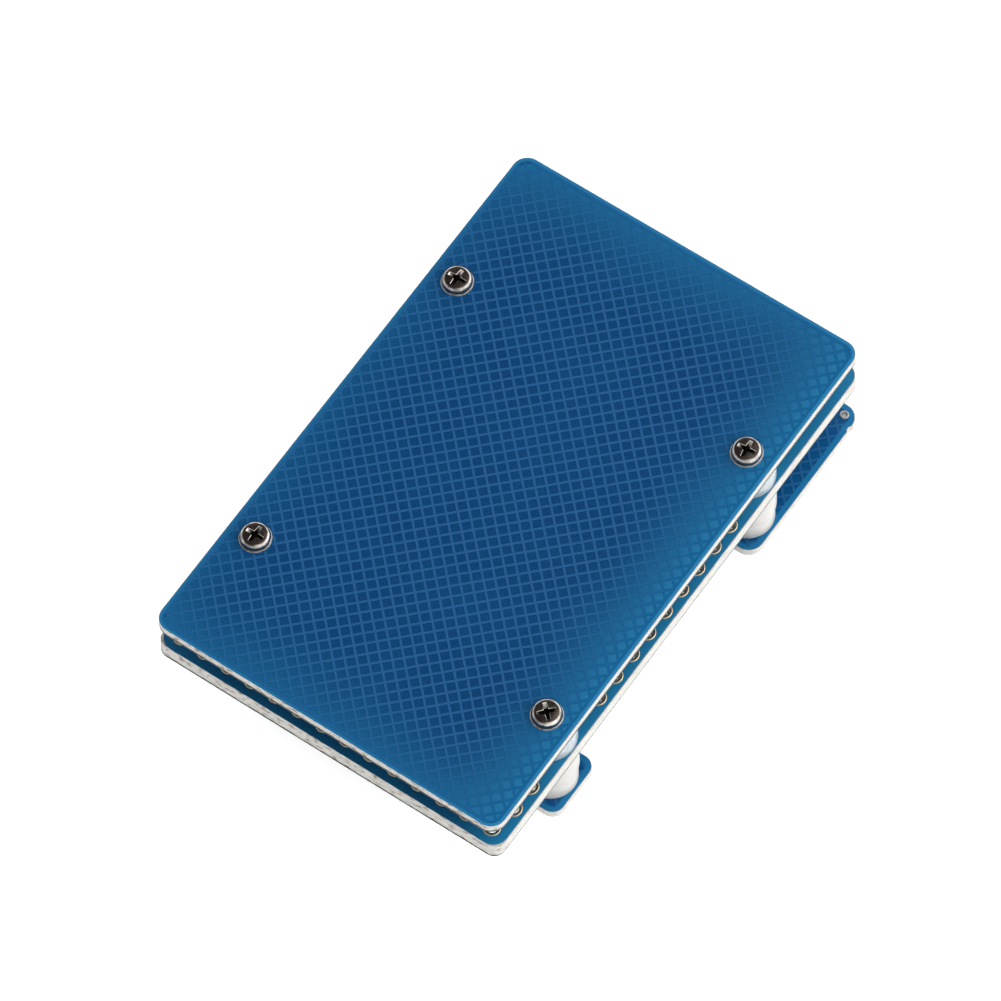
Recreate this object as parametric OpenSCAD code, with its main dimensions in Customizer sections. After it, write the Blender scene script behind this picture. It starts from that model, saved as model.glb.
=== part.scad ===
/* [Boards] */
// Length of the back cover and the main board
board_l = 56.8; // [56:0.5:75]
// Width of all three boards
board_w = 36.5; // [35:0.5:50]
// Radius of the boards' outer corners
corner_r = 1.5; // [0.6:0.1:2.4]
// Thickness of the back cover
cover_t = 1.0; // [0.8:0.1:1.6]
// Thickness of the main board
main_t = 1.6; // [1.0:0.1:2.0]
// Thickness of the front cover
front_t = 1.0; // [0.8:0.1:1.6]
// Half the width of each front cover ear, along the board
ear_half = 3.2; // [2.8:0.1:3.6]
// Depth of the front cover's recess on the open side
open_recess = 3.1; // [2.5:0.1:4]

/* [Stack] */
// Height of the clear spacers under the back cover
clear_spacer_h = 3.0; // [2.4:0.1:5]
// Height of the white spacers next to the main board
upper_spacer_h = 3.6; // [3.6:0.1:6]
// Height of the white spacers next to the front cover
lower_spacer_h = 2.6; // [2.4:0.1:5]
// Outer diameter of the clear spacers and of the upper white spacers
spacer_d = 5.2; // [3.8:0.1:5.6]
// Outer diameter of the lower white spacers
lower_spacer_d = 4.9; // [3.8:0.1:5.6]

/* [Screws] */
// Diameter of the screws
screw_d = 1.6; // [1.4:0.1:2.0]
// Diameter of the screw heads
head_d = 2.8; // [2.6:0.1:3.6]
// Diameter of the flat on top of each screw head
head_flat_d = 2.2; // [2.0:0.1:2.4]
// Height of the screw heads
head_h = 0.7; // [0.6:0.05:1.0]
// Width of the nuts across their flats
nut_af = 3.2; // [3:0.1:4]
// Height of the nuts
nut_h = 1.3; // [1:0.1:1.6]
// Length of screw that stands out past each nut
screw_tip = 1.1; // [0.9:0.1:2]
// Distance from the far edge to the far screws
screw_far_inset = 14.2; // [14:0.05:16]
// Distance from the near edge to the near screws
screw_near_inset = 11.75; // [11.5:0.05:13]
// Distance from a long edge to the screws
screw_side_inset = 2.75; // [2.4:0.05:3]

/* [Connectors] */
// Pitch of the headers and of the plated holes
pitch = 2.54; // [2:0.01:2.54]
// Diameter of the plated holes' bore
pad_bore_d = 1.0; // [0.8:0.05:1.2]
// Width of the square header pins
pin_w = 0.64; // [0.5:0.02:0.68]
// Height of the shrouded header
shroud_h = 9.1; // [8.5:0.1:9.6]
// Width of the USB socket
usb_w = 7.7; // [7:0.1:8]
// Depth of the USB socket, front to back
usb_l = 9.2; // [8:0.1:9.4]
// Height of the USB socket
usb_h = 3.95; // [3.5:0.05:5]

/* [Controls] */
// Side of the square push button bodies
button_body = 6.0; // [5:0.1:6.4]
// Diameter of the push button plungers
plunger_d = 3.5; // [2.8:0.1:3.6]
// Travel of the push buttons
button_travel = 0.25; // [0.15:0.05:0.3]
// Height of the plungers past the front cover
button_proud = 1.0; // [0.5:0.1:1.4]
// Diameter of the lights
led_d = 3.0; // [2.5:0.1:3.2]
// Height of the lights past the front cover
led_proud = 0.5; // [0:0.1:1]
// Travel of the slide switch
switch_travel = 2.0; // [1.5:0.1:2.4]
// Side of the square slide switch handle
handle_w = 1.5; // [1.2:0.1:1.6]
// Height of the slide switch handle past the front cover
handle_proud = 0.8; // [0.3:0.1:1.2]

/* [Hidden] */
$fn = 48;

// Named clearances
screw_clear = 0.1;      // screw to a hole that it passes through
plunger_clear = 0.08;   // plunger to the metal frame that guides it
free_clear = 0.3;       // a moving piece to what it doesn't rub on
cover_clear = 0.35;     // a piece that passes through the front cover
led_clear = 0.15;       // a light to its hole
slip = 0.05;            // a held piece to the face that stops it

// Levels, from the screws' tips up
z_front_lo = screw_tip + nut_h;
z_front_hi = z_front_lo + front_t;
z_step = z_front_hi + lower_spacer_h;
z_main_lo = z_step + upper_spacer_h;
z_main_hi = z_main_lo + main_t;
z_cover_lo = z_main_hi + clear_spacer_h;
z_cover_hi = z_cover_lo + cover_t;
reach = z_main_lo - z_front_lo;  // from the main board to the front cover's outside

// Edges and screws
far_x = board_l / 2;
near_x = -board_l / 2;
side_y = board_w / 2;
screw_far_x = far_x - screw_far_inset;
screw_near_x = near_x + screw_near_inset;
screw_y = side_y - screw_side_inset;
screws = [for (x = [screw_near_x, screw_far_x]) for (s = [-1, 1]) [x, s * screw_y]];
cross_turns = [48, 0, 5, 1];
cross_w = 0.34;
cross_l = 1.7;
cross_depth = 0.45;

// Front cover outline
front_near_x = screw_near_x - ear_half;
recess_x0 = screw_near_x + ear_half;
recess_x1 = screw_far_x - ear_half;
ear_r = 1.2;
bite_r = 0.4;
bite_x = far_x - 2.0;
ring_at = [far_x - 1.05, 1.2 - side_y];
ring_d = 1.1;
ring_bore_d = 0.5;

// Plated holes along the near end and the long edges
pad_inset = 1.25;
pad_ring_d = pad_bore_d + 0.8;
plate_t = 0.05;
near_pads = 14;
near_pad_x = near_x + 1.75;
long_pad_y = side_y - pad_inset;
near_row = [for (i = [0:near_pads - 1]) [near_pad_x, (i - (near_pads - 1) / 2) * pitch]];
corner_pads = [for (i = [1:2]) for (s = [-1, 1]) [near_pad_x + i * pitch, s * long_pad_y]];
open_row = [for (i = [0:8]) [recess_x0 + 2.2 + i * pitch, -long_pad_y]];
pads = concat(near_row, corner_pads, open_row);

// Shrouded target header, in the front cover's deep recess
shroud_wall_l = 1.2;
shroud_wall_w = 1.3;
shroud_floor = 2.5;
shroud_l = 4 * pitch + 10.14;
shroud_w = pitch + 6.46;
shroud_key = 4.5;
header_at = [(recess_x0 + recess_x1) / 2, side_y - shroud_w / 2 - 0.3];
header_recess_y = header_at.y - shroud_w / 2 - free_clear;
header_pin_h = 8.3;

// Service header at the near end
service_base_h = 2.5;
service_pin_h = 8.5;
service_at = [near_x + 5.65, 2.6];

// Pins and solder
tail = 1.1;
joint_h = 0.8;
hole_d = pin_w * sqrt(2) + 0.145;
joint_d = hole_d + 0.65;
joint_top_d = hole_d - 0.1;
grid_xy = function (at, nx, ny) [
    for (i = [0:nx - 1]) for (j = [0:ny - 1])
        at + [(i - (nx - 1) / 2) * pitch, (j - (ny - 1) / 2) * pitch]
];
header_xy = grid_xy(header_at, 5, 2);
service_xy = grid_xy(service_at, 2, 3);

// USB socket
usb_wall = 0.3;
usb_neck_w = 6.0;
usb_shoulder = 1.5;
usb_back = 2.6;
tongue_w = 4.0;
tongue_t = 0.8;
tongue_l = 5.6;
usb_contact_pitch = 0.8;
usb_contact_w = 0.3;
usb_contact_t = 0.1;

// Controller, buffer and memory chips
controller_at = [header_at.x, -1.2];
controller_w = 10;
controller_h = 1.2;
controller_pitch = 0.8;
controller_side_leads = 11;
chip_stand = 0.1;
small_w = 3.9;
small_h = 1.5;
small_pitch = 1.27;
buffer_l = 8.65;
buffer_at = [controller_at.x - 7.2, -11.1];
memory_l = 4.9;
memory_at = [controller_at.x + 2.2, -11.1];

// Regulator, crystal, capacitors and fuse
regulator_at = [screw_near_x + 0.6, 6.6];
regulator_body = [3.5, 6.5, 1.6];
regulator_reach = 1.75;
crystal_at = [controller_at.x + 9.6, -1.0];
crystal_l = 11.0;
crystal_w = 4.6;
crystal_h = 3.5;
crystal_base_t = 0.6;
crystal_rim = 0.35;
can_d = 5.0;
can_h = 5.4;
can_base = 5.3;
can_base_t = 1.0;
cans = [for (s = [-1, 1]) [screw_far_x + 0.9, s * 9.35]];
fuse_at = [far_x - usb_l - 1.3, 0];
fuse_size = [1.6, 3.2, 0.8];

// Chip parts: centre, then 0 along X or 90 along Y
chip_l = 2.0;
chip_w = 1.25;
chip_cap_h = 0.85;
chip_res_h = 0.5;
terminal_l = 0.35;
terminal_t = 0.04;
resistors = concat(
    [for (i = [0:5]) [controller_at.x - 9.2, 5.2 - i * 2.2, 0]],
    [for (i = [-1:1]) [screw_far_x - 2.3, i * 4.5, 90]]
);
capacitors = [
    [controller_at.x + 8.6, -9.4, 0], [controller_at.x + 8.6, -12.0, 0],
    [controller_at.x + 8.6, 6.5, 0], [controller_at.x - 3.6, 6.5, 0],
    [controller_at.x + 1.4, 6.5, 0], [screw_far_x - 3.1, -10.2, 90]
];

// Lights
leds = [for (i = [-1:1]) [screw_far_x + 0.5, i * 4.5]];
led_h = 5.3;
led_flange_d = 3.8;
led_flange_h = 1.0;
led_lead_w = 0.5;
led_lead_gap = 2.54;
led_top = reach + led_proud;
led_seat = led_top - led_h;

// Push buttons
buttons = [for (s = [-1, 1]) [far_x - 6.8, s * 10.2]];
button_base_h = 3.3;
button_frame_t = 0.3;
button_flange_d = plunger_d + 0.8;
button_flange_t = 0.5;
button_cavity = 1.5;
tip_bevel = 0.2;
button_lead_x = 2.25;
leg_w = 0.7;
leg_t = 0.3;
dome_d = 3.6;
dome_h = 0.4;
dome_t = 0.1;
rivet_d = 0.7;
button_tip = reach + button_proud;
button_flange_top = button_base_h - slip;

// Slide switch
switch_at = [screw_near_x, -4.0];
switch_h = 3.5;
switch_wall = 0.3;
switch_base_t = 0.8;
switch_pin_pitch = 2.5;
switch_pin = [0.5, 0.3];
slider_l = 4.0;
switch_l = slider_l + switch_travel + 2.6;
switch_w = handle_w + 2.1;
slider_w = switch_w - 2 * switch_wall - 2 * free_clear;
slider_z0 = switch_base_t + free_clear;
slider_z1 = switch_h - switch_wall - free_clear;
handle_tip = reach + handle_proud;
frame_slot = [handle_w + 2 * free_clear, handle_w + switch_travel + 2 * free_clear];
cover_slot = [handle_w + 2 * cover_clear, handle_w + switch_travel + 2 * cover_clear];

// Every lead that passes through the main board: place, size along X, size along Y
through_leads = concat(
    [for (p = header_xy) [p, pin_w, pin_w]],
    [for (p = service_xy) [p, pin_w, pin_w]],
    [for (p = leds) for (s = [-1, 1]) [p + [0, s * led_lead_gap / 2], led_lead_w, led_lead_w]],
    [for (p = buttons) for (sx = [-1, 1]) for (sy = [-1, 1])
        [p + [sx * button_lead_x, sy * (button_body + leg_t) / 2], leg_w, leg_t]],
    [for (i = [-1:1]) [switch_at + [0, i * switch_pin_pitch], switch_pin.y, switch_pin.x]]
);

// ---------- shared shapes ----------

// Rectangle between two corners with rounded corners
module round_rect(a, b, r) {
    translate(a + [r, 0]) square([b.x - a.x - 2 * r, b.y - a.y]);
    translate(a + [0, r]) square([b.x - a.x, b.y - a.y - 2 * r]);
    for (x = [a.x + r, b.x - r]) for (y = [a.y + r, b.y - r]) translate([x, y]) circle(r);
}

// Block centred on its base
module block(size) {
    translate([-size.x / 2, -size.y / 2, 0]) cube(size);
}

// Places a part on the main board's component side, which faces down
module on_board(at, turn = 0) {
    translate([at.x, at.y, z_main_lo]) mirror([0, 0, 1]) rotate([0, 0, turn]) children();
}

module screw_holes(z, h) {
    for (p = screws) translate([p.x, p.y, z - 1]) cylinder(d = screw_d + 2 * screw_clear, h = h + 2);
}

module spacers(z, h, d) {
    for (p = screws) translate([p.x, p.y, z]) difference() {
        cylinder(d = d, h = h);
        translate([0, 0, -1]) cylinder(d = screw_d + 2 * screw_clear, h = h + 2);
    }
}

// One gull-wing lead that leaves a package side at x = 0 and runs out along +X
module gull_lead(reach_out, rise, width, thick) {
    knee = reach_out * 0.3;
    foot = reach_out * 0.55;
    rotate([90, 0, 0]) translate([0, 0, -width / 2]) linear_extrude(width) polygon([
        [0, rise], [knee, rise], [foot - thick, 0], [reach_out, 0], [reach_out, thick],
        [foot, thick], [knee + thick, rise + thick], [0, rise + thick]
    ]);
}

// A row of gull-wing leads on one side of a package
module lead_row(n, step, offset, reach_out, rise, width, thick) {
    for (i = [0:n - 1]) translate([offset, (i - (n - 1) / 2) * step, 0])
        gull_lead(reach_out, rise, width, thick);
}

module chip_body(size, stand, dot_d) {
    difference() {
        translate([0, 0, stand]) block(size);
        translate([-size.x / 2 + dot_d * 1.3, -size.y / 2 + dot_d * 1.3, stand + size.z - 0.08])
            cylinder(d = dot_d, h = 1);
    }
}

// ---------- boards and what clamps them ----------

module back_cover() {
    color([0.07, 0.33, 0.58]) difference() {
        translate([0, 0, z_cover_lo]) linear_extrude(cover_t)
            round_rect([near_x, -side_y], [far_x, side_y], corner_r);
        screw_holes(z_cover_lo, cover_t);
    }
}

module main_board() {
    color([0.08, 0.38, 0.55]) difference() {
        translate([0, 0, z_main_lo]) linear_extrude(main_t)
            round_rect([near_x, -side_y], [far_x, side_y], corner_r);
        screw_holes(z_main_lo, main_t);
        for (p = pads) translate([p.x, p.y, z_main_lo - 1])
            cylinder(d = pad_bore_d + 2 * plate_t, h = main_t + 2);
        for (lead = through_leads) translate([lead[0].x, lead[0].y, z_main_lo - 1])
            cylinder(d = hole_d, h = main_t + 2);
    }
}

module edge_pads() {
    color([0.78, 0.68, 0.42]) for (p = pads) translate([p.x, p.y, z_main_lo]) difference() {
        union() {
            cylinder(d = pad_bore_d + 2 * plate_t, h = main_t);
            translate([0, 0, -plate_t]) cylinder(d = pad_ring_d, h = plate_t);
            translate([0, 0, main_t]) cylinder(d = pad_ring_d, h = plate_t);
        }
        translate([0, 0, -1]) cylinder(d = pad_bore_d, h = main_t + 2);
    }
}

module front_cover() {
    color([0.05, 0.24, 0.45]) difference() {
        translate([0, 0, z_front_lo]) linear_extrude(front_t) difference() {
            union() {
                round_rect([front_near_x, -side_y], [recess_x0, side_y], ear_r);
                round_rect([recess_x1, -side_y], [far_x, side_y], corner_r);
                translate([recess_x0 - ear_r, open_recess - side_y])
                    square([recess_x1 - recess_x0 + ear_r + corner_r,
                            header_recess_y + side_y - open_recess]);
            }
            translate([bite_x, -side_y]) circle(bite_r);
            translate(ring_at) circle(d = ring_bore_d + 2 * plate_t);
            translate(switch_at - cover_slot / 2) square(cover_slot);
        }
        screw_holes(z_front_lo, front_t);
        for (p = leds) translate([p.x, p.y, z_front_lo - 1])
            cylinder(d = led_d + 2 * led_clear, h = front_t + 2);
        for (p = buttons) translate([p.x, p.y, z_front_lo - 1])
            cylinder(d = plunger_d + 2 * cover_clear, h = front_t + 2);
    }
}

module corner_ring() {
    color("silver") translate([ring_at.x, ring_at.y, z_front_lo]) difference() {
        union() {
            cylinder(d = ring_bore_d + 2 * plate_t, h = front_t);
            translate([0, 0, -plate_t]) cylinder(d = ring_d, h = plate_t);
            translate([0, 0, front_t]) cylinder(d = ring_d, h = plate_t);
        }
        translate([0, 0, -1]) cylinder(d = ring_bore_d, h = front_t + 2);
    }
}

module clear_spacers() {
    color([0.85, 0.92, 0.94]) spacers(z_main_hi, clear_spacer_h, spacer_d);
}

module upper_spacers() {
    color("white") spacers(z_step, upper_spacer_h, spacer_d);
}

module lower_spacers() {
    color("white") spacers(z_front_hi, lower_spacer_h, lower_spacer_d);
}

// Screw with a low domed head, from its tip up
module screw(turn) {
    rise = (head_d - head_flat_d) / 2;
    difference() {
        union() {
            cylinder(d = screw_d, h = z_cover_hi);
            translate([0, 0, z_cover_hi]) rotate_extrude() polygon(concat(
                [[0, 0], [head_d / 2, 0], [head_d / 2, head_h * 0.35]],
                [for (a = [30:30:90])
                    [head_flat_d / 2 + rise * cos(a), head_h * (0.35 + 0.65 * sin(a))]],
                [[0, head_h]]
            ));
        }
        translate([0, 0, z_cover_hi + head_h - cross_depth]) rotate([0, 0, turn]) {
            block([cross_l, cross_w, 1]);
            block([cross_w, cross_l, 1]);
        }
    }
}

module cover_screws() {
    color([0.2, 0.19, 0.18]) for (i = [0:3]) translate([screws[i].x, screws[i].y, 0])
        screw(cross_turns[i]);
}

module cover_nuts() {
    color([0.75, 0.75, 0.73]) for (p = screws) translate([p.x, p.y, screw_tip]) difference() {
        rotate([0, 0, 30]) cylinder(d = nut_af / cos(30), h = nut_h, $fn = 6);
        translate([0, 0, -1]) cylinder(d = screw_d, h = nut_h + 2);
    }
}

// ---------- USB socket ----------

// Section of the socket shell, wide at the top and necked at the board
module usb_section(inset) {
    half = usb_w / 2 - inset;
    neck = usb_neck_w / 2 - inset;
    polygon([
        [-neck, inset], [neck, inset], [neck, usb_shoulder * 0.4 + inset / 2],
        [half, usb_shoulder], [half, usb_h - inset], [-half, usb_h - inset],
        [-half, usb_shoulder], [-neck, usb_shoulder * 0.4 + inset / 2]
    ]);
}

// Turns a section in Y and Z into a prism that runs back from the far edge
module usb_prism(from, length) {
    on_board([far_x - from, 0]) rotate([90, 0, -90]) linear_extrude(length) children();
}

module usb_shell() {
    color("silver") {
        usb_prism(0, usb_l) difference() {
            usb_section(0);
            usb_section(usb_wall);
        }
        for (x = [2.2, usb_l - 1.4]) for (s = [-1, 1])
            on_board([far_x - x, s * (usb_neck_w / 2 + 0.55)]) block([1.6, 1.1, usb_wall]);
    }
}

module usb_insert() {
    color([0.12, 0.12, 0.12]) {
        usb_prism(usb_l - usb_back, usb_back - slip) usb_section(usb_wall);
        on_board([far_x - usb_l + usb_back + tongue_l / 2 - 0.1, 0])
            translate([0, 0, usb_h * 0.5]) block([tongue_l + 0.2, tongue_w, tongue_t]);
    }
}

module usb_contacts() {
    color([0.85, 0.7, 0.35]) for (i = [-2:2])
        on_board([far_x - usb_l + usb_back + tongue_l / 2, i * usb_contact_pitch])
            translate([0, 0, usb_h * 0.5 - usb_contact_t])
                block([tongue_l - 0.6, usb_contact_w, usb_contact_t]);
}

// ---------- chips ----------

module controller_chip() {
    color([0.1, 0.1, 0.11]) on_board(controller_at)
        chip_body([controller_w, controller_w, controller_h], chip_stand, 1.0);
}

module controller_leads() {
    color("silver") on_board(controller_at) for (a = [0:90:270]) rotate([0, 0, a])
        lead_row(controller_side_leads, controller_pitch, controller_w / 2, 1.0, 0.6, 0.35, 0.13);
}

module buffer_chip() {
    color([0.1, 0.1, 0.11]) on_board(buffer_at) chip_body([buffer_l, small_w, small_h], chip_stand, 0.8);
}

module memory_chip() {
    color([0.1, 0.1, 0.11]) on_board(memory_at) chip_body([memory_l, small_w, small_h], chip_stand, 0.8);
}

module small_chip_leads() {
    color("silver") for (chip = [[buffer_at, 7], [memory_at, 4]]) for (a = [90, 270])
        on_board(chip[0], a) lead_row(chip[1], small_pitch, small_w / 2, 1.05, 0.75, 0.42, 0.2);
}

module voltage_regulator() {
    color([0.1, 0.1, 0.11]) on_board(regulator_at) chip_body(regulator_body, chip_stand, 0.6);
}

module regulator_leads() {
    color("silver") on_board(regulator_at) {
        lead_row(3, 2.3, regulator_body.x / 2, regulator_reach, 0.7, 0.7, 0.25);
        rotate([0, 0, 180]) lead_row(1, 0, regulator_body.x / 2, regulator_reach, 0.7, 3.0, 0.25);
    }
}

// ---------- passive parts ----------

module stadium(l, w, h) {
    linear_extrude(h) {
        square([w, l - w], center = true);
        for (s = [-1, 1]) translate([0, s * (l - w) / 2]) circle(d = w);
    }
}

module crystal_base() {
    color([0.15, 0.15, 0.15]) on_board(crystal_at) {
        block([crystal_w, crystal_l, crystal_base_t - 0.2]);
        translate([0, 0, crystal_base_t - 0.2]) stadium(crystal_l, crystal_w, 0.2);
    }
}

module crystal_can() {
    color("silver") on_board(crystal_at) translate([0, 0, crystal_base_t]) {
        stadium(crystal_l, crystal_w, 0.25);
        stadium(crystal_l - 2 * crystal_rim, crystal_w - 2 * crystal_rim, crystal_h - crystal_base_t);
    }
}

module capacitor_cans() {
    groove = 0.25;
    color("silver") for (p = cans) on_board(p) translate([0, 0, can_base_t]) rotate_extrude() polygon([
        [0, 0], [can_d / 2, 0], [can_d / 2, 0.5], [can_d / 2 - groove, 0.7],
        [can_d / 2 - groove, 0.9], [can_d / 2, 1.1], [can_d / 2, can_h - can_base_t - 0.3],
        [can_d / 2 - 0.3, can_h - can_base_t], [0, can_h - can_base_t]
    ]);
}

module capacitor_bases() {
    cut = 1.0;
    half = can_base / 2;
    color([0.1, 0.1, 0.1]) for (p = cans) on_board(p) linear_extrude(can_base_t) polygon([
        [-half, -half], [half - cut, -half], [half, cut - half],
        [half, half - cut], [half - cut, half], [-half, half]
    ]);
}

module chip_bodies(list, h) {
    for (c = list) on_board(c, c[2]) translate([0, 0, terminal_t])
        block([chip_l - 2 * terminal_l, chip_w - 2 * terminal_t, h]);
}

module chip_ends(list, h) {
    for (c = list) on_board(c, c[2]) for (s = [-1, 1])
        translate([s * (chip_l - terminal_l) / 2, 0, 0]) block([terminal_l, chip_w, h + 2 * terminal_t]);
}

module chip_capacitors() {
    color([0.72, 0.58, 0.4]) chip_bodies(capacitors, chip_cap_h);
}

module chip_resistors() {
    color([0.08, 0.08, 0.08]) chip_bodies(resistors, chip_res_h);
}

module chip_terminals() {
    color("silver") {
        chip_ends(capacitors, chip_cap_h);
        chip_ends(resistors, chip_res_h);
    }
}

module input_fuse() {
    color([0.15, 0.45, 0.25]) on_board(fuse_at) block(fuse_size);
}

// ---------- lights ----------

module led(at) {
    on_board(at) translate([0, 0, led_seat]) {
        cylinder(d = led_flange_d, h = led_flange_h);
        rotate_extrude() {
            square([led_d / 2, led_h - led_d / 2]);
            translate([0, led_h - led_d / 2]) intersection() {
                circle(d = led_d);
                square(led_d);
            }
        }
    }
}

module power_led() {
    color([0.8, 0.1, 0.1]) led(leds[0]);
}

module busy_led() {
    color([0.9, 0.7, 0.1]) led(leds[1]);
}

module target_led() {
    color([0.1, 0.7, 0.2]) led(leds[2]);
}

module led_leads() {
    color("silver") for (p = leds) for (s = [-1, 1])
        on_board(p + [0, s * led_lead_gap / 2]) translate([0, 0, -main_t - tail])
            block([led_lead_w, led_lead_w, led_seat + main_t + tail]);
}

// ---------- push buttons ----------

module plunger(at) {
    on_board(at) {
        translate([0, 0, button_flange_top - button_flange_t])
            cylinder(d = button_flange_d, h = button_flange_t);
        translate([0, 0, button_flange_top])
            cylinder(d = plunger_d, h = button_tip - tip_bevel - button_flange_top);
        translate([0, 0, button_tip - tip_bevel])
            cylinder(d1 = plunger_d, d2 = plunger_d - 2 * tip_bevel, h = tip_bevel);
    }
}

module program_button() {
    color([0.12, 0.12, 0.12]) plunger(buttons[0]);
}

module reset_button() {
    color([0.7, 0.12, 0.1]) plunger(buttons[1]);
}

module button_bases() {
    color([0.1, 0.1, 0.1]) for (p = buttons) on_board(p) difference() {
        block([button_body, button_body, button_base_h]);
        translate([0, 0, button_base_h - button_cavity])
            cylinder(d = button_flange_d + 2 * free_clear, h = button_cavity + 1);
    }
}

module button_frames() {
    color("silver") for (p = buttons) on_board(p) translate([0, 0, button_base_h]) {
        difference() {
            block([button_body, button_body, button_frame_t]);
            translate([0, 0, -1]) cylinder(d = plunger_d + 2 * plunger_clear, h = 3);
        }
        for (sx = [-1, 1]) for (sy = [-1, 1])
            translate([sx, sy, 0] * (button_body / 2 - 0.7) + [0, 0, button_frame_t])
                cylinder(d = rivet_d, h = 0.2);
    }
}

module button_domes() {
    color("silver") for (p = buttons) on_board(p)
        translate([0, 0, button_base_h - button_cavity]) rotate_extrude() polygon([
            [0, dome_h], [dome_d * 0.25, dome_h * 0.75], [dome_d / 2, 0], [dome_d / 2, dome_t],
            [dome_d * 0.25, dome_h * 0.75 + dome_t], [0, dome_h + dome_t]
        ]);
}

module button_legs() {
    color("silver") for (p = buttons) on_board(p) for (sx = [-1, 1]) for (sy = [-1, 1])
        translate([sx * button_lead_x, sy * (button_body + leg_t) / 2, -main_t - tail])
            block([leg_w, leg_t, main_t + tail + 1.2]);
}

// ---------- slide switch ----------

// Rests at the near end of its travel and slides along +Y
module switch_knob() {
    color([0.92, 0.92, 0.9]) on_board(switch_at - [0, switch_travel / 2]) {
        translate([0, 0, slider_z0]) block([slider_w, slider_l, slider_z1 - slider_z0]);
        translate([0, 0, slider_z1]) block([handle_w, handle_w, handle_tip - slider_z1]);
    }
}

module switch_base() {
    color([0.45, 0.25, 0.12]) on_board(switch_at)
        block([switch_w - 2 * switch_wall, switch_l - 2 * switch_wall, switch_base_t]);
}

module switch_frame() {
    color("silver") on_board(switch_at) difference() {
        block([switch_w, switch_l, switch_h]);
        translate([0, 0, -1])
            block([switch_w - 2 * switch_wall, switch_l - 2 * switch_wall, switch_h - switch_wall + 1]);
        block([frame_slot.x, frame_slot.y, switch_h + 1]);
    }
}

module switch_pins() {
    color("silver") for (i = [-1:1]) on_board(switch_at + [0, i * switch_pin_pitch])
        translate([0, 0, -main_t - tail]) block([switch_pin.y, switch_pin.x, main_t + tail]);
}

// ---------- headers ----------

module target_header_shroud() {
    color([0.1, 0.1, 0.1]) on_board(header_at) difference() {
        block([shroud_l, shroud_w, shroud_h]);
        translate([0, 0, shroud_floor])
            block([shroud_l - 2 * shroud_wall_l, shroud_w - 2 * shroud_wall_w, shroud_h]);
        translate([-shroud_key / 2, 0, shroud_floor]) cube([shroud_key, shroud_w, shroud_h]);
        for (p = header_xy) translate([p.x - header_at.x, p.y - header_at.y, -1])
            block([pin_w, pin_w, shroud_floor + 2]);
    }
}

module pins(list, h) {
    for (p = list) on_board(p) translate([0, 0, -main_t - tail])
        block([pin_w, pin_w, main_t + tail + h]);
}

module target_header_pins() {
    color([0.85, 0.7, 0.35]) pins(header_xy, header_pin_h);
}

module service_header_base() {
    color([0.1, 0.1, 0.1]) on_board(service_at) difference() {
        block([2 * pitch, 3 * pitch, service_base_h]);
        for (p = service_xy) translate([p.x - service_at.x, p.y - service_at.y, -1])
            block([pin_w, pin_w, service_base_h + 2]);
    }
}

module service_header_pins() {
    color([0.85, 0.7, 0.35]) pins(service_xy, service_pin_h);
}

// Each joint fills its hole round the lead and stands as a cone on the back
module solder_joints() {
    color([0.8, 0.8, 0.8]) for (lead = through_leads)
        translate([lead[0].x, lead[0].y, z_main_lo]) difference() {
            union() {
                cylinder(d = hole_d, h = main_t);
                translate([0, 0, main_t]) cylinder(d1 = joint_d, d2 = joint_top_d, h = joint_h);
            }
            translate([0, 0, -1]) block([lead[1], lead[2], main_t + joint_h + 2]);
        }
}

back_cover();
clear_spacers();
main_board();
edge_pads();
upper_spacers();
lower_spacers();
front_cover();
corner_ring();
cover_screws();
cover_nuts();
usb_shell();
usb_insert();
usb_contacts();
controller_chip();
controller_leads();
buffer_chip();
memory_chip();
small_chip_leads();
voltage_regulator();
regulator_leads();
crystal_can();
crystal_base();
capacitor_cans();
capacitor_bases();
chip_capacitors();
chip_resistors();
chip_terminals();
input_fuse();
power_led();
busy_led();
target_led();
led_leads();
program_button();
reset_button();
button_bases();
button_frames();
button_domes();
button_legs();
switch_knob();
switch_base();
switch_frame();
switch_pins();
target_header_shroud();
target_header_pins();
service_header_base();
service_header_pins();
solder_joints();
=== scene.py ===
"""Looks of a USB microcontroller programmer: three blue boards in a stack, clamped by four screws."""
import math
import random

import bmesh
import bpy
from mathutils import Matrix, Vector


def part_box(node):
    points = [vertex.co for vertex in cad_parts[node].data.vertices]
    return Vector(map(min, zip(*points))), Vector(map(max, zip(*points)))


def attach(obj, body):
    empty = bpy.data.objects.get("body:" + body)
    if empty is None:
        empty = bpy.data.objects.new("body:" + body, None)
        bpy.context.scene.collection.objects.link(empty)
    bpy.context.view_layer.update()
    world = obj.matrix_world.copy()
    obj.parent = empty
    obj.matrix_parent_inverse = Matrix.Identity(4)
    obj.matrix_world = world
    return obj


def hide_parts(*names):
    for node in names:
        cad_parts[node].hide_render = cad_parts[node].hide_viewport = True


MM = 0.001

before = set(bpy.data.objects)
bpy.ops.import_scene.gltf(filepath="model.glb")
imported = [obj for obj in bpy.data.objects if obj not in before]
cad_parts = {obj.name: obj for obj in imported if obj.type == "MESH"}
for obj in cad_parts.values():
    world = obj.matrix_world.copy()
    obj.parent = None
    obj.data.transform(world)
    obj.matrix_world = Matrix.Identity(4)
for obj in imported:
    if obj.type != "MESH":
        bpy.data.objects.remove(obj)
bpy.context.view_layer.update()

# ---------- places, from the frame ----------


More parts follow.
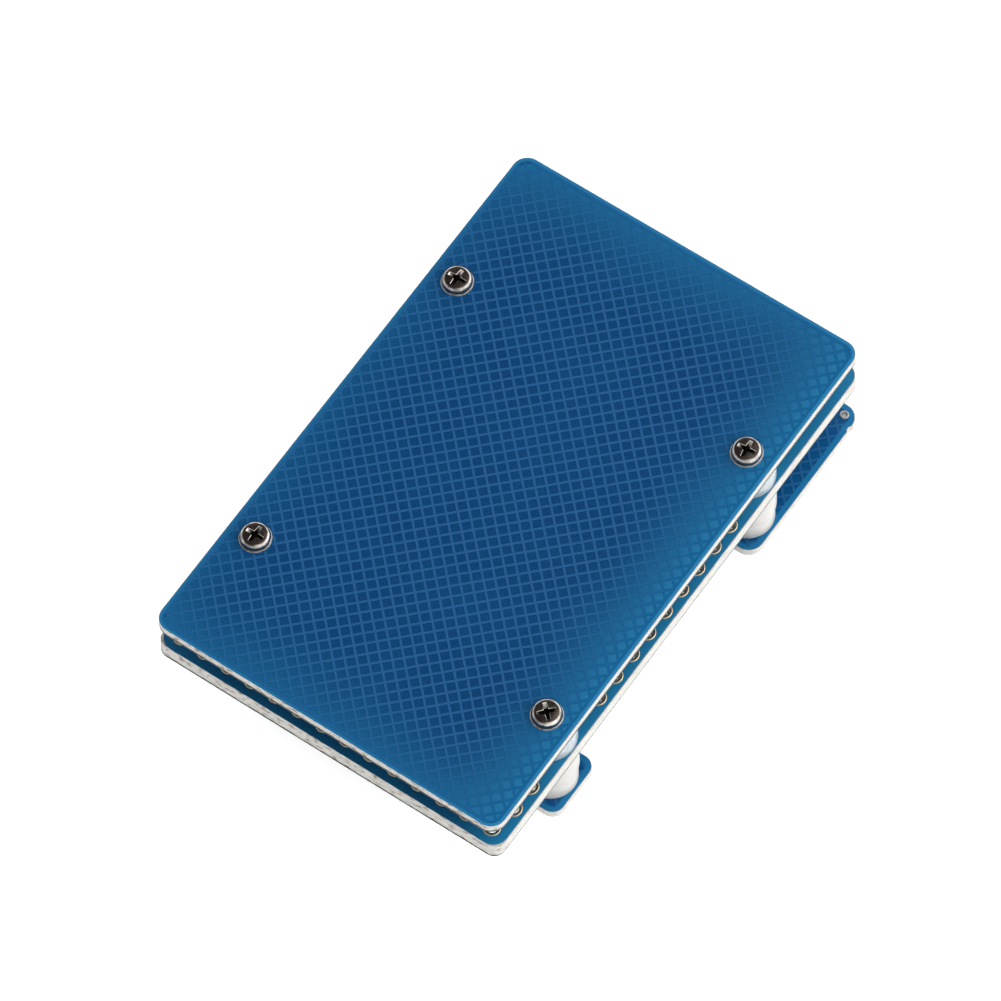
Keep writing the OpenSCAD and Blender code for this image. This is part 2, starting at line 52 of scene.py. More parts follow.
def islands(node):
    """(lowest corner, highest corner) of each separate solid of a CAD node, sorted by place."""
    bm = bmesh.new()
    bm.from_mesh(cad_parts[node].data)
    bmesh.ops.remove_doubles(bm, verts=bm.verts, dist=1e-7)
    left, found = set(bm.verts), []
    while left:
        stack, group = [left.pop()], []
        while stack:
            v = stack.pop()
            group.append(v.co.copy())
            for e in v.link_edges:
                w = e.other_vert(v)
                if w in left:
                    left.remove(w)
                    stack.append(w)
        lo = Vector(min(c[i] for c in group) for i in range(3))
        hi = Vector(max(c[i] for c in group) for i in range(3))
        found.append((lo, hi))
    bm.free()
    return sorted(found, key=lambda b: (round(b[0].x, 5), round(b[0].y, 5), round(b[0].z, 5)))


def middle(box):
    """Centre of a box given by its lowest and highest corners."""
    return (box[0] + box[1]) / 2


def spots(node):
    """Centre in X and Y of each separate solid of a CAD node, without doubles."""
    places = []
    for box in islands(node):
        spot = (middle(box).x, middle(box).y)
        if all(math.dist(spot, other) > 0.05 * MM for other in places):
            places.append(spot)
    return places


COVER_LO, COVER_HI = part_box("back_cover")
MAIN_LO, MAIN_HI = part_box("main_board")
FRONT_LO, FRONT_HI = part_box("front_cover")
HEAD_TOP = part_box("cover_screws")[1].z
NEAR_X, FAR_X, SIDE_Y = MAIN_LO.x, MAIN_HI.x, MAIN_HI.y
SCREWS = spots("cover_screws")
PADS = spots("edge_pads")
JOINTS = spots("solder_joints")
LEDS = [tuple(middle(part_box(n)).xy) for n in ("power_led", "busy_led", "target_led")]
BUTTONS = [tuple(middle(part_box(n)).xy) for n in ("program_button", "reset_button")]
SWITCH = tuple(middle(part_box("switch_base")).xy)
RING = tuple(middle(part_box("corner_ring")).xy)

# ---------- materials ----------


def srgb(r, g, b):
    """Linear colour of an 8-bit screen colour."""
    return tuple(((c / 255 + 0.055) / 1.055) ** 2.4 if c > 10 else c / 255 / 12.92 for c in (r, g, b))


class Shader:
    """A material with a Principled shader, and short calls for the nodes that feed it."""

    def __init__(self, name, **numbers):
        self.material = bpy.data.materials.new(name)
        self.material.use_nodes = True
        self.tree = self.material.node_tree
        self.bsdf = self.tree.nodes["Principled BSDF"]
        self.coords = self.tree.nodes.new("ShaderNodeTexCoord").outputs["Object"]
        for socket, value in numbers.items():
            self.bsdf.inputs[socket.replace("_", " ")].default_value = value

    def link(self, source, target):
        self.tree.links.new(source, target)

    def noise(self, scale, stretch=(1, 1, 1), detail=3.0):
        """Noise with features about 1 / scale metres across, drawn out along each axis by stretch."""
        mapping = self.tree.nodes.new("ShaderNodeMapping")
        mapping.inputs["Scale"].default_value = [scale / s for s in stretch]
        self.link(self.coords, mapping.inputs["Vector"])
        texture = self.tree.nodes.new("ShaderNodeTexNoise")
        texture.inputs["Scale"].default_value = 1.0
        texture.inputs["Detail"].default_value = detail
        self.link(mapping.outputs[0], texture.inputs["Vector"])
        return texture.outputs["Fac"]

    def remap(self, value, low, high, to_low=0.0, to_high=1.0):
        """Carries low..high over to to_low..to_high, and keeps what lies outside at the ends."""
        node = self.tree.nodes.new("ShaderNodeMapRange")
        for i, number in enumerate((low, high, to_low, to_high)):
            node.inputs[i + 1].default_value = number
        self.link(value, node.inputs[0])
        return node.outputs[0]

    def math(self, operation, a, b):
        node = self.tree.nodes.new("ShaderNodeMath")
        node.operation = operation
        for i, value in enumerate((a, b)):
            if isinstance(value, (int, float)):
                node.inputs[i].default_value = value
            else:
                self.link(value, node.inputs[i])
        return node.outputs[0]

    def axis(self, index):
        """The place along X, Y or Z, in metres."""
        node = self.tree.nodes.new("ShaderNodeSeparateXYZ")
        self.link(self.coords, node.inputs[0])
        return node.outputs[index]

    def mix(self, factor, a, b):
        """Blends from a to b, each a colour or a socket."""
        node = self.tree.nodes.new("ShaderNodeMix")
        node.data_type = "RGBA"
        self.link(factor, node.inputs["Factor"])
        for socket, value in ((node.inputs[6], a), (node.inputs[7], b)):
            if isinstance(value, tuple):
                socket.default_value = (*value[:3], 1.0)
            else:
                self.link(value, socket)
        return node.outputs[2]

    def colour(self, source):
        self.link(source, self.bsdf.inputs["Base Color"])

    def roughness(self, source, low, high):
        """Roughness from low to high over the usual range of a noise."""
        self.link(self.remap(source, 0.3, 0.7, low, high), self.bsdf.inputs["Roughness"])

    def bump(self, source, height, strength=1.0):
        """Raises the surface by source times height, in metres."""
        node = self.tree.nodes.new("ShaderNodeBump")
        node.inputs["Strength"].default_value = strength
        node.inputs["Distance"].default_value = height
        self.link(source, node.inputs["Height"])
        self.link(node.outputs[0], self.bsdf.inputs["Normal"])


def scaled(colour, factor):
    """A colour made lighter or darker."""
    return tuple(min(1.0, c * factor) for c in colour)


def grainy(name, colour, rough, grain, spread, bump=0.004, stretch=(1, 1, 1), **numbers):
    """A material with a fine grain in its colour, gloss and height. bump is in millimetres."""
    s = Shader(name, **numbers)
    fine = s.noise(grain, stretch)
    broad = s.noise(grain / 12, detail=2.0)
    tone = s.math("ADD", s.math("MULTIPLY", fine, 0.6), s.math("MULTIPLY", broad, 0.4))
    s.colour(s.mix(s.remap(tone, 0.35, 0.65), scaled(colour, 1 - spread), scaled(colour, 1 + spread)))
    s.roughness(tone, *rough)
    s.bump(fine, bump * MM)
    return s.material


def painted_edge_glow(s):
    """Painted light: 0 in the middle of the boards and up to 1 at their rims, a painted glow for light that
    soaks in through the laminate.
    It is strongest along the open -Y edge and weakest along the +Y edge."""
    x, y = s.axis(0), s.axis(1)
    # for each edge: where the glow starts, where it is full, and how strong it is there
    reaches = ((y, -0.52 * SIDE_Y, -0.97 * SIDE_Y, 1.0), (y, 0.66 * SIDE_Y, SIDE_Y, 0.3),
               (x, 0.67 * FAR_X, FAR_X, 0.68), (x, 0.70 * NEAR_X, NEAR_X, 0.5))
    dark = None
    for across, start, end, most in reaches:
        rise = s.remap(across, start, end)
        rest = s.math("SUBTRACT", 1.0, s.math("MULTIPLY", s.math("MULTIPLY", rise, rise), most))
        dark = rest if dark is None else s.math("MULTIPLY", dark, rest)
    return s.math("SUBTRACT", 1.0, dark)


def mask(name, deep, rim):
    """Glossy solder mask over glass cloth, with a painted glow that brightens it from deep to rim towards the
    board's edges.
    """
    s = Shader(name, Specular_IOR_Level=0.1, IOR=1.5)
    cloud, cloth = s.noise(160, detail=2.0), s.noise(3000, (2.5, 0.8, 1))
    weave = s.math("ADD", s.math("MULTIPLY", cloud, 0.6), s.math("MULTIPLY", cloth, 0.4))
    # painted light: the colour goes from deep to rim as a painted glow towards the edges
    base = s.mix(painted_edge_glow(s), deep, rim)
    s.colour(s.mix(s.remap(weave, 0.35, 0.65, 0.0, 0.08), base, scaled(rim, 1.1)))
    s.roughness(s.noise(2500), 0.22, 0.32)
    s.bump(s.noise(900, detail=2.0), 0.006 * MM, 0.5)
    return s.material


def laminate(name, tone):
    """Cut glass-fibre laminate: cream, with long fibres that run along the cut and darker specks, which are
    thickest on the snapped near end."""
    s = Shader(name, Subsurface_Weight=0.1, Subsurface_Scale=0.0005)
    fibres = s.noise(9000, (18, 18, 1.2), detail=4.0)
    specks = s.noise(3200, (2.2, 2.2, 0.9), detail=3.0)
    snapped = s.remap(s.axis(0), NEAR_X + 0.3 * MM, NEAR_X + 0.9 * MM, 1.0, 0.25)
    base = s.mix(s.remap(fibres, 0.38, 0.62), scaled(tone, 0.84), scaled(tone, 1.06))
    dark_specks = s.math("MULTIPLY", s.remap(specks, 0.52, 0.68), snapped)
    s.colour(s.mix(dark_specks, base, tuple(c * k for c, k in zip(tone, (0.26, 0.22, 0.19)))))
    s.roughness(fibres, 0.55, 0.75)
    s.bump(fibres, 0.03 * MM)
    return s.material


def plated_screw(name, side_highlight, top, recess):
    """Black nickel: dark on the flat of the head, with a painted highlight on the curved side and painted
    shade in its cross.
    """
    s = Shader(name, Metallic=1.0)
    normal = s.tree.nodes.new("ShaderNodeSeparateXYZ")
    s.link(s.tree.nodes["Texture Coordinate"].outputs["Normal"], normal.inputs[0])
    flat = s.remap(normal.outputs[2], 0.90, 0.985)
    grain = s.noise(2500)
    # painted highlight: the curved side is painted bright in patches, standing for reflections
    painted_side_sheen = s.mix(s.remap(s.noise(1200, detail=4.0), 0.42, 0.6), scaled(side_highlight, 0.45), scaled(side_highlight, 1.15))
    below_flat = s.remap(s.axis(2), HEAD_TOP - 0.035 * MM, HEAD_TOP - 0.06 * MM)
    in_head = s.math("MULTIPLY", below_flat, s.remap(s.axis(2), COVER_HI.z, COVER_HI.z + 0.02 * MM))
    # painted shade: the cross recess is painted near-black
    painted_cross_shade = s.math("MULTIPLY", in_head, s.remap(normal.outputs[2], 0.99, 0.995))
    s.colour(s.mix(flat, painted_side_sheen, s.mix(painted_cross_shade, top, recess)))
    s.roughness(grain, 0.16, 0.3)
    s.bump(grain, 0.004 * MM)
    return s.material


def nylon(name, colour, **numbers):
    return grainy(name, colour, (0.28, 0.42), 3000, 0.05, 0.004, **numbers)


def metal(name, colour, rough=(0.2, 0.34), grain=3500, stretch=(1, 1, 1), bump=0.003):
    return grainy(name, colour, rough, grain, 0.10, bump, stretch, Metallic=1.0)


def lens(name, colour):
    s = Shader(name, Transmission_Weight=0.82, IOR=1.5, Coat_Weight=0.4, Coat_Roughness=0.05)
    s.colour(s.mix(s.remap(s.noise(900), 0.3, 0.7), scaled(colour, 0.92), colour))
    s.roughness(s.noise(2600), 0.08, 0.16)
    s.bump(s.noise(1500), 0.002 * MM)
    return s.material


CREAM = tuple(0.42 * c for c in srgb(244, 242, 235))
LIGHT = 1.57  # how much brighter than its colour the mask looks under the studio light
SHEEN = 0.0052  # what its gloss adds to that


def blue(name, deep, rim):
    """Solder mask from the screen colours that it shows in the middle and at the rim when lit. The rim colour
    is a painted glow.
    """
    return mask(name, *(tuple(max(0.0005, (c - SHEEN) / LIGHT) for c in srgb(*shown))
                        for shown in (deep, rim)))


MATERIALS = {
    # each mask goes from its deep colour to a rim colour that is painted light along the boards' edges
    "opening": blue("cover_opening", (17, 64, 112), (38, 116, 163)),
    "line": blue("cover_line", (40, 91, 141), (24, 97, 147)),
    "margin": blue("cover_margin", (24, 90, 138), (44, 126, 174)),
    "main_mask": blue("main_mask", (22, 54, 92), (42, 124, 168)),
    "main_trace": blue("main_trace", (34, 78, 130), (56, 140, 190)),
    "front_opening": blue("front_opening", (20, 74, 126), (24, 84, 136)),
    "front_line": blue("front_line", (42, 92, 142), (42, 100, 150)),
    "front_margin": blue("front_margin", (32, 108, 158), (38, 118, 168)),
    "laminate": laminate("laminate", CREAM),
    # painted shade: the dark line along each board's lower rim
    "painted_shade_line": grainy("board_painted_shade", srgb(26, 30, 32), (0.5, 0.65), 5000, 0.2),
    "silk": grainy("silkscreen", srgb(226, 228, 226), (0.5, 0.65), 5000, 0.05),
    "clear_nylon": nylon("clear_nylon", srgb(184, 194, 200), Transmission_Weight=0.5, IOR=1.5,
                         Subsurface_Weight=0.2, Subsurface_Scale=0.001),
    "white_nylon": nylon("white_nylon", srgb(156, 155, 151), Subsurface_Weight=0.3,
                         Subsurface_Scale=0.001),
    # painted highlight on the heads' curved sides and painted shade in their crosses
    "black_nickel": plated_screw("black_nickel", srgb(160, 156, 152), srgb(70, 62, 57),
                                 srgb(14, 12, 11)),
    "zinc": metal("zinc", srgb(196, 197, 198), (0.22, 0.36)),
    "gold": metal("gold", srgb(178, 166, 140), (0.3, 0.42)),
    "tin": metal("tin", srgb(205, 206, 206), (0.2, 0.34)),
    "dull_tin": metal("dull_tin", srgb(150, 150, 150), (0.35, 0.5)),
    "solder": metal("solder", srgb(196, 198, 200), (0.12, 0.3), 1500, bump=0.01),
    "sheet": metal("sheet_metal", srgb(202, 202, 200), (0.24, 0.38), 2500, (6, 1, 1)),
    "can": metal("can_aluminium", srgb(212, 214, 216), (0.26, 0.38), 3000, (1, 1, 5)),
    "epoxy": grainy("chip_epoxy", srgb(34, 34, 36), (0.5, 0.68), 6000, 0.2, 0.01),
    "black": grainy("black_plastic", srgb(28, 28, 28), (0.38, 0.52), 3500, 0.15, 0.008),
    "red": grainy("red_plastic", srgb(176, 34, 30), (0.3, 0.42), 3500, 0.06, 0.005),
    "white": grainy("white_plastic", srgb(228, 227, 222), (0.3, 0.44), 3500, 0.04, 0.005),
    "phenolic": grainy("phenolic", srgb(112, 66, 32), (0.45, 0.6), 2500, 0.18, 0.008, (5, 1, 1)),
    "ceramic": grainy("ceramic", srgb(170, 138, 100), (0.4, 0.55), 6000, 0.1, 0.005),
    "resistor": grainy("resistor_glaze", srgb(26, 26, 28), (0.15, 0.28), 4000, 0.15, 0.003),
    "fuse": grainy("fuse_coat", srgb(40, 108, 66), (0.35, 0.5), 4000, 0.12, 0.006),
    "red_lens": lens("red_lens", srgb(216, 30, 22)),
    "yellow_lens": lens("yellow_lens", srgb(236, 176, 24)),
    "green_lens": lens("green_lens", srgb(36, 176, 60)),
}

# ---------- shape helpers ----------


def new_object(name, mesh):
    obj = bpy.data.objects.new(name, mesh)
    bpy.context.scene.collection.objects.link(obj)
    return obj


def from_bmesh(name, bm, smooth=None):
    """An object from bm. smooth is the angle in degrees below which edges shade smooth."""
    bmesh.ops.recalc_face_normals(bm, faces=bm.faces)
    mesh = bpy.data.meshes.new(name)
    bm.to_mesh(mesh)
    bm.free()
    obj = new_object(name, mesh)
    if smooth is not None:
        smooth_below(obj, smooth)
    return obj


def smooth_below(obj, degrees):
    mesh = obj.data
    bm = bmesh.new()
    bm.from_mesh(mesh)
    for face in bm.faces:
        face.smooth = True
    for edge in bm.edges:
        edge.smooth = len(edge.link_faces) == 2 and edge.calc_face_angle(0) < math.radians(degrees)
    bm.to_mesh(mesh)
    bm.free()


def finish_piece(obj, material, slot, *nodes, body="root"):
    """Gives a piece its material and body, and hides the CAD nodes that it stands for. Its slot argument is
    not used.
    """
    obj.data.materials.clear()
    obj.data.materials.append(MATERIALS[material])
    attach(obj, body)
    if nodes:
        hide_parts(*nodes)


def arc(centre, radius, start, end, steps):
    """Points on an arc, with angles in degrees."""
    return [(centre[0] + radius * math.cos(math.radians(start + (end - start) * i / steps)),
             centre[1] + radius * math.sin(math.radians(start + (end - start) * i / steps)))
            for i in range(steps + 1)]


def circle(centre, radius, steps=32):
    return arc(centre, radius, 0, 360, steps)[:-1]


def filleted(corners, steps=6):
    """Closed outline through (x, y, radius) corners, each rounded by its own radius."""
    outline = []
    for i, (x, y, radius) in enumerate(corners):
        here = Vector((x, y))
        before = (Vector(corners[i - 1][:2]) - here).normalized()
        after = (Vector(corners[(i + 1) % len(corners)][:2]) - here).normalized()
        if radius <= 0:
            outline.append((x, y))
            continue
        half = before.angle(after) / 2
        reach = radius / math.tan(half)
        centre = here + (before + after).normalized() * (radius / math.sin(half))
        first = here + before * reach - centre
        sweep = first.angle_signed(here + after * reach - centre)
        for k in range(steps + 1):
            turned = first.copy()
            turned.rotate(Matrix.Rotation(-sweep * k / steps, 2))
            outline.append(tuple(centre + turned))
    return outline


def rectangle(x0, y0, x1, y1, radius):
    return filleted([(x0, y0, radius), (x1, y0, radius), (x1, y1, radius), (x0, y1, radius)])


def grown(lo, hi, gap, radius):
    """A rectangle with a gap round the box from lo to hi."""
    return rectangle(lo[0] - gap, lo[1] - gap, hi[0] + gap, hi[1] + gap, radius)


def plate(name, loops, z0, z1):
    """A flat plate between two levels. The first loop is its outline and the others are holes."""
    curve = bpy.data.curves.new(name, "CURVE")
    curve.dimensions = "2D"
    curve.fill_mode = "BOTH"
    curve.extrude = (z1 - z0) / 2
    for loop in loops:
        spline = curve.splines.new("POLY")
        spline.points.add(len(loop) - 1)
        for point, (x, y) in zip(spline.points, loop):
            point.co = (x, y, 0, 1)
        spline.use_cyclic_u = True
    source = new_object(name + "_curve", curve)
    bpy.context.view_layer.update()
    mesh = bpy.data.meshes.new_from_object(source.evaluated_get(bpy.context.evaluated_depsgraph_get()))
    bpy.data.objects.remove(source)
    bpy.data.curves.remove(curve)
    bm = bmesh.new()
    bm.from_mesh(mesh)
    bpy.data.meshes.remove(mesh)
    bmesh.ops.remove_doubles(bm, verts=bm.verts, dist=1e-7)
    bmesh.ops.translate(bm, verts=bm.verts, vec=(0, 0, (z0 + z1) / 2))
    return from_bmesh(name, bm, 40)


def layer(name, loops, z0, z1, material, *nodes):
    """A flat layer of a board."""
    finish_piece(plate(name, loops, z0, z1), material, "blue_mask", *nodes)


def ring_into(bm, at, radius, steps, z):
    """Vertices on a circle, or on an outline whose radius is a function of the step."""
    reach = radius if callable(radius) else lambda k: radius
    return [bm.verts.new((at[0] + reach(k) * math.cos(2 * math.pi * k / steps),
                          at[1] + reach(k) * math.sin(2 * math.pi * k / steps), z)) for k in range(steps)]


def skin(bm, rings):
    """Faces between each ring of vertices and the next."""
    for low, high in zip(rings, rings[1:]):
        for k in range(len(low)):
            after = (k + 1) % len(low)
            bm.faces.new((low[k], low[after], high[after], high[k]))


def lathe_into(bm, profile, at, steps=32, up=1):
    """Turns (radius, height) points about the Z axis through at. up is -1 for a shape that hangs down."""
    rings = [ring_into(bm, at, radius, steps if radius > 0 else 1, at[2] + up * height)
             for radius, height in profile]
    for low, high in zip(rings, rings[1:]):
        for k in range(steps):
            corners = [low[k % len(low)], low[(k + 1) % len(low)],
                       high[(k + 1) % len(high)], high[k % len(high)]]
            corners = list(dict.fromkeys(corners))
            if len(corners) > 2:
                bm.faces.new(corners)


def lathe(name, profile, places, steps, smooth=35):
    """One object with the same turned shape at each place."""
    bm = bmesh.new()
    for at in places:
        lathe_into(bm, profile, at, steps)
    return from_bmesh(name, bm, smooth)


def weld(obj):
    """Joins vertices that lie on each other."""
    bm = bmesh.new()
    bm.from_mesh(obj.data)
    bmesh.ops.remove_doubles(bm, verts=bm.verts, dist=1e-7)
    bmesh.ops.recalc_face_normals(bm, faces=bm.faces)
    bm.to_mesh(obj.data)
    bm.free()


def box_into(bm, lo, hi, bevel):
    """A box with rounded edges."""
    made = bmesh.ops.create_cube(bm, size=1.0)["verts"]
    bmesh.ops.scale(bm, verts=made, vec=Vector(hi) - Vector(lo))
    bmesh.ops.translate(bm, verts=made, vec=(Vector(lo) + Vector(hi)) / 2)
    edges = list(dict.fromkeys(e for v in made for e in v.link_edges))
    bmesh.ops.bevel(bm, geom=edges, offset=bevel, segments=2, profile=0.7, affect="EDGES")


def softened(node, material, width):
    """Keeps a CAD node, with small rounded edges and its own material. width is in millimetres."""
    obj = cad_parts[node]
    merge = obj.modifiers.new("weld", "WELD")
    merge.merge_threshold = 1e-6
    bevel = obj.modifiers.new("edges", "BEVEL")
    bevel.width = width * MM
    bevel.segments = 2
    bevel.limit_method = "ANGLE"
    bevel.angle_limit = math.radians(40)
    obj.data.materials.clear()
    obj.data.materials.append(MATERIALS[material])


# ---------- boards ----------

MASK_T = 0.05 * MM
MASK_PULL_BACK = 0.08 * MM  # bare rim between the mask and the cut edge
RIB_H = 0.025 * MM  # the mask lies this far below the copper lines
RIB_ROOT = 0.01 * MM
HATCH_PITCH = 1.013 * MM
HATCH_WIDTH = 0.23 * MM
HATCH_SETS = ((45, 0.285 * MM, 0.0), (-45, 0.157 * MM, 0.002 * MM))  # turn, offset, depth below the face
CORNER_R = 1.5 * MM
CORE_INSET = 0.35 * MM  # the flat core ends here, and the edge band goes round it
BAND_W = 0.5 * MM
SCREW_HOLE_R = 0.9 * MM
COVER_FRAME = (0.38 * MM, 0.62 * MM)  # outer and inner inset of the line round the cover's crosshatch
PAD_HOLE_R, PAD_CLEAR_R = 0.55 * MM, 0.84 * MM
JOINT_HOLE_R, JOINT_CLEAR_R = 0.5 * MM, 0.95 * MM
# the front cover
EAR_HALF = 3.2 * MM  # half the length of the full-width ends, from their screws
EAR_R = 1.2 * MM
MIN_R = 0.3 * MM
OPEN_RECESS = 3.1 * MM
HEADER_RECESS = 9.6 * MM
FRONT_MARGIN = 0.6 * MM
BITE_BACK, BITE_R, BITE_OFF = 2.0 * MM, 0.5 * MM, 0.35 * MM  # from the far end, radius, centre off the edge
LED_OPENING_R, BUTTON_OPENING_R, RING_HOLE_R = 1.65 * MM, 2.1 * MM, 0.3 * MM
SLOT_HALF = (1.1 * MM, 2.1 * MM)
# x of the two steps between the full-width ends and the narrow middle
STRIP_END, BLOCK_START = SCREWS[0][0] + EAR_HALF, SCREWS[-1][0] - EAR_HALF


def clip(polygon, inside):
    """Cuts a polygon by a half plane. inside gives the signed distance of a point to its edge."""
    kept = []
    for a, b in zip(polygon, polygon[1:] + polygon[:1]):
        da, db = inside(a), inside(b)
        if da >= 0:
            kept.append(a)
        if (da > 0) != (db > 0) and abs(da - db) > 1e-12:
            t = da / (da - db)
            kept.append((a[0] + (b[0] - a[0]) * t, a[1] + (b[1] - a[1]) * t))
    return kept


def clip_to(polygon, region):
    """Cuts a polygon to a rectangle x0, y0, x1, y1 whose corners are cut off by the last value."""
    x0, y0, x1, y1, cut = region
    tests = [lambda p: p[0] - x0, lambda p: x1 - p[0], lambda p: p[1] - y0, lambda p: y1 - p[1]]
    for cx, sx in ((x0, 1), (x1, -1)):
        for cy, sy in ((y0, 1), (y1, -1)):
            tests.append(lambda p, cx=cx, sx=sx, cy=cy, sy=sy: sx * (p[0] - cx) + sy * (p[1] - cy) - cut)
    for inside in tests:
        if len(polygon) > 2:
            polygon = clip(polygon, inside)
    return polygon


def prism_into(bm, outline, z0, z1):
    """A prism on a flat outline."""
    if len(outline) < 3:
        return
    low = [bm.verts.new((x, y, z0)) for x, y in outline]
    high = [bm.verts.new((x, y, z1)) for x, y in outline]
    bm.faces.new(high)
    bm.faces.new(low[::-1])
    skin(bm, [low, high])


def hatch(name, regions, holes, face, up, material):
    """Copper crosshatch under the mask: low ribs up to a board's face, cut to the regions and round
    the holes. up is 1 on an upper face and -1 on a lower one."""
    bm = bmesh.new()
    reach = 60 * MM
    half = HATCH_WIDTH / 2
    root = face - up * (RIB_H + RIB_ROOT)
    count = int(reach / HATCH_PITCH)
    for turn, phase, drop in HATCH_SETS:
        across = Vector((math.cos(math.radians(turn)), math.sin(math.radians(turn))))
        along = Vector((-across.y, across.x))
        for i in range(-count, count + 1):
            foot = across * (phase + i * HATCH_PITCH)
            gaps = []
            for (hx, hy), radius in holes:
                to_hole = Vector((hx, hy)) - foot
                off = abs(to_hole.dot(across))
                if off < radius:
                    run = math.sqrt(radius ** 2 - off ** 2)
                    gaps.append((to_hole.dot(along) - run, to_hole.dot(along) + run))
            start = -reach
            for end, after in sorted(gaps) + [(reach, reach)]:
                if end > start:
                    strip = [tuple(foot + along * t + across * s)
                             for t, s in ((start, -half), (end, -half), (end, half), (start, half))]
                    for region in regions:
                        prism_into(bm, clip_to(strip, region), root, face - up * drop)
                start = max(start, after)
    finish_piece(from_bmesh(name, bm), material, "blue_mask")


def board_outline(inset, near_inset=None):
    """Outline of the back cover and main board, drawn in by inset, or by near_inset at the near end."""
    near = inset if near_inset is None else near_inset
    return rectangle(NEAR_X + near, -SIDE_Y + inset, FAR_X - inset, SIDE_Y - inset, CORNER_R - inset)


def cut_outline(inset):
    """Outline of the main board's bare edge, whose near corners stand out a little from the mask's."""
    near, far = CORNER_R - 0.4 * MM - inset, CORNER_R - inset
    return filleted([(NEAR_X + inset, -SIDE_Y + inset, near), (FAR_X - inset, -SIDE_Y + inset, far),
                     (FAR_X - inset, SIDE_Y - inset, far), (NEAR_X + inset, SIDE_Y - inset, near)])


def front_outline(inset):
    """Outline of the front cover: two full-width strips joined by a narrower one, less a small bite."""
    near, far, s = FRONT_LO.x, FRONT_HI.x, SIDE_Y - inset
    strip_end, block_start = STRIP_END - inset, BLOCK_START + inset
    low, high = -SIDE_Y + OPEN_RECESS + inset, SIDE_Y - HEADER_RECESS - inset
    small, big = max(EAR_R - inset, MIN_R), max(CORNER_R - inset, MIN_R)
    bite = (far - BITE_BACK, -SIDE_Y - BITE_OFF)
    tilt = math.degrees(math.asin((inset + BITE_OFF) / (BITE_R + inset)))
    corners = [
        (near + inset, -s, small), (strip_end, -s, small), (strip_end, low, 0),
        (block_start, low, 0), (block_start, -s, big),
        *[(x, y, 0) for x, y in arc(bite, BITE_R + inset, 180 - tilt, tilt, 10)],
        (far - inset, -s, big), (far - inset, s, big), (block_start, s, big),
        (block_start, high, 0), (strip_end, high, 0),
        (strip_end, s, small), (near + inset, s, small),
    ]
    return filleted(corners)


def discs(places, radius, steps=32):
    return [circle(p, radius, steps) for p in places]


def resampled(outline, spacing):
    """Points at an even spacing round a closed outline."""
    points = []
    for a, b in zip(outline, outline[1:] + outline[:1]):
        n = max(1, round(math.dist(a, b) / spacing))
        points += [(a[0] + (b[0] - a[0]) * k / n, a[1] + (b[1] - a[1]) * k / n) for k in range(n)]
    return points


def edge_band(name, outline_at, low, top, seed, groove, rough):
    """The cut edge of a board as a closed band. Routed edges are nearly smooth. At the near end the board
    was snapped off along a score, so there the band is torn by up to rough, and its upper part steps in
    by groove. Both are in millimetres."""
    dice = random.Random(seed)
    outer = resampled(outline_at(0.0), 0.14 * MM)
    normals = []
    for k in range(len(outer)):
        along = Vector(outer[(k + 1) % len(outer)]) - Vector(outer[k - 1])
        normals.append(Vector((-along.y, along.x)).normalized())
    z0, z1 = low + MASK_T - 0.01 * MM, top - MASK_T + 0.01 * MM
    bm = bmesh.new()
    rings = []
    for t in (0.0, 0.06, 0.14, 0.24, 0.36, 0.5, 0.64, 0.76, 0.86, 0.94, 1.0):
        in_score = max(0.0, (t - 0.6) / 0.4)
        drift = 0.0
        ring = []
        for point, normal in zip(outer, normals):
            snapped = min(1.0, max(0.0, (NEAR_X + 0.7 * MM - point[0]) / (0.5 * MM)))
            drift = 0.7 * drift + 0.3 * dice.uniform(0, 1)
            depth = (0.01 + 0.02 * abs(t - 0.5) + snapped * (groove * in_score + rough * drift)) * MM
            ring.append(bm.verts.new((point[0] + normal.x * depth, point[1] + normal.y * depth,
                                      z0 + (z1 - z0) * t)))
        rings.append(ring)
    for z in (z1, z0):
        rings.append([bm.verts.new((p[0] + n.x * BAND_W, p[1] + n.y * BAND_W, z))
                      for p, n in zip(outer, normals)])
    skin(bm, rings + rings[:1])
    finish_piece(from_bmesh(name, bm, 60), "laminate", "blue_mask")


def painted_shade_line(name, outline_at, low, height):
    """A dark line along the lower rim of a board: painted shade under its edge."""
    z = low + 0.02 * MM
    layer(name, [outline_at(0.003 * MM), outline_at(0.4 * MM)], z, z + height, "painted_shade_line")


def make_back_cover():
    """Opened mask with the copper lines standing in it, and a plain margin round it, on both faces."""
    low, top = COVER_LO.z, COVER_HI.z
    core = [board_outline(CORE_INSET)] + discs(SCREWS, SCREW_HOLE_R)
    layer("cover_laminate", core, low + MASK_T, top - MASK_T, "laminate", "back_cover")
    edge_band("cover_edge", board_outline, low, top, 3, 0.05, 0.025)
    # painted shade line under the cover's rim
    painted_shade_line("cover_painted_shade_line", board_outline, low, 0.2 * MM)
    outer, inner = COVER_FRAME
    opening = [board_outline(outer)] + discs(SCREWS, 1.5 * MM, 48)
    margin = [board_outline(MASK_PULL_BACK), board_outline(outer)]
    line = [board_outline(outer), board_outline(inner)]
    region = (NEAR_X + inner, -SIDE_Y + inner, FAR_X - inner, SIDE_Y - inner, 0.5 * MM)
    for name, face, up in (("upper", top, 1), ("lower", low, -1)):
        z0, z1 = sorted((face - up * MASK_T, face - up * RIB_H))
        f0, f1 = sorted((face - up * (RIB_H + RIB_ROOT), face))
        layer(f"cover_{name}_mask", opening, z0, z1, "opening")
        layer(f"cover_{name}_margin", margin, z0, z1, "margin")
        layer(f"cover_{name}_frame", line, f0, f1, "line")
        hatch(f"cover_{name}_hatch", [region], [(p, 1.62 * MM) for p in SCREWS], face, up, "line")


